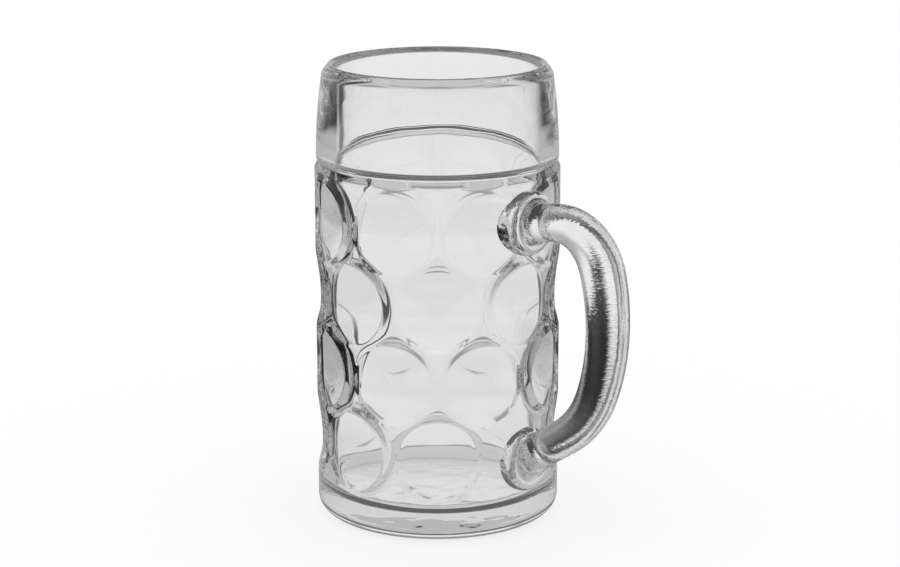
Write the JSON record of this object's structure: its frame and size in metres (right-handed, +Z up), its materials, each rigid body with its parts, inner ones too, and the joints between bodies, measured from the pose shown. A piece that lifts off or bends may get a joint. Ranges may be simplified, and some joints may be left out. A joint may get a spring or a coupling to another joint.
{
  "type": "dimpled glass beer mug",
  "caption": "Tall, heavy, straight-sided clear glass beer mug with staggered round dimples, a plain collar with a rounded lip and a bent bar handle.",
  "frame": {"origin": "centre of the flat base, on the surface that the mug stands on", "axes": "+Z up along the vessel's axis, +X out through the middle of the handle"},
  "size_m": [0.1616, 0.107, 0.2],
  "materials": {
    "clear_glass": "clear, fire-polished soda-lime glass"
  },
  "bodies": {
    "root": {"vessel": "clear_glass", "handle": "clear_glass", "upper_handle_foot": "clear_glass", "lower_handle_foot": "clear_glass"}
  },
  "joints": []
}
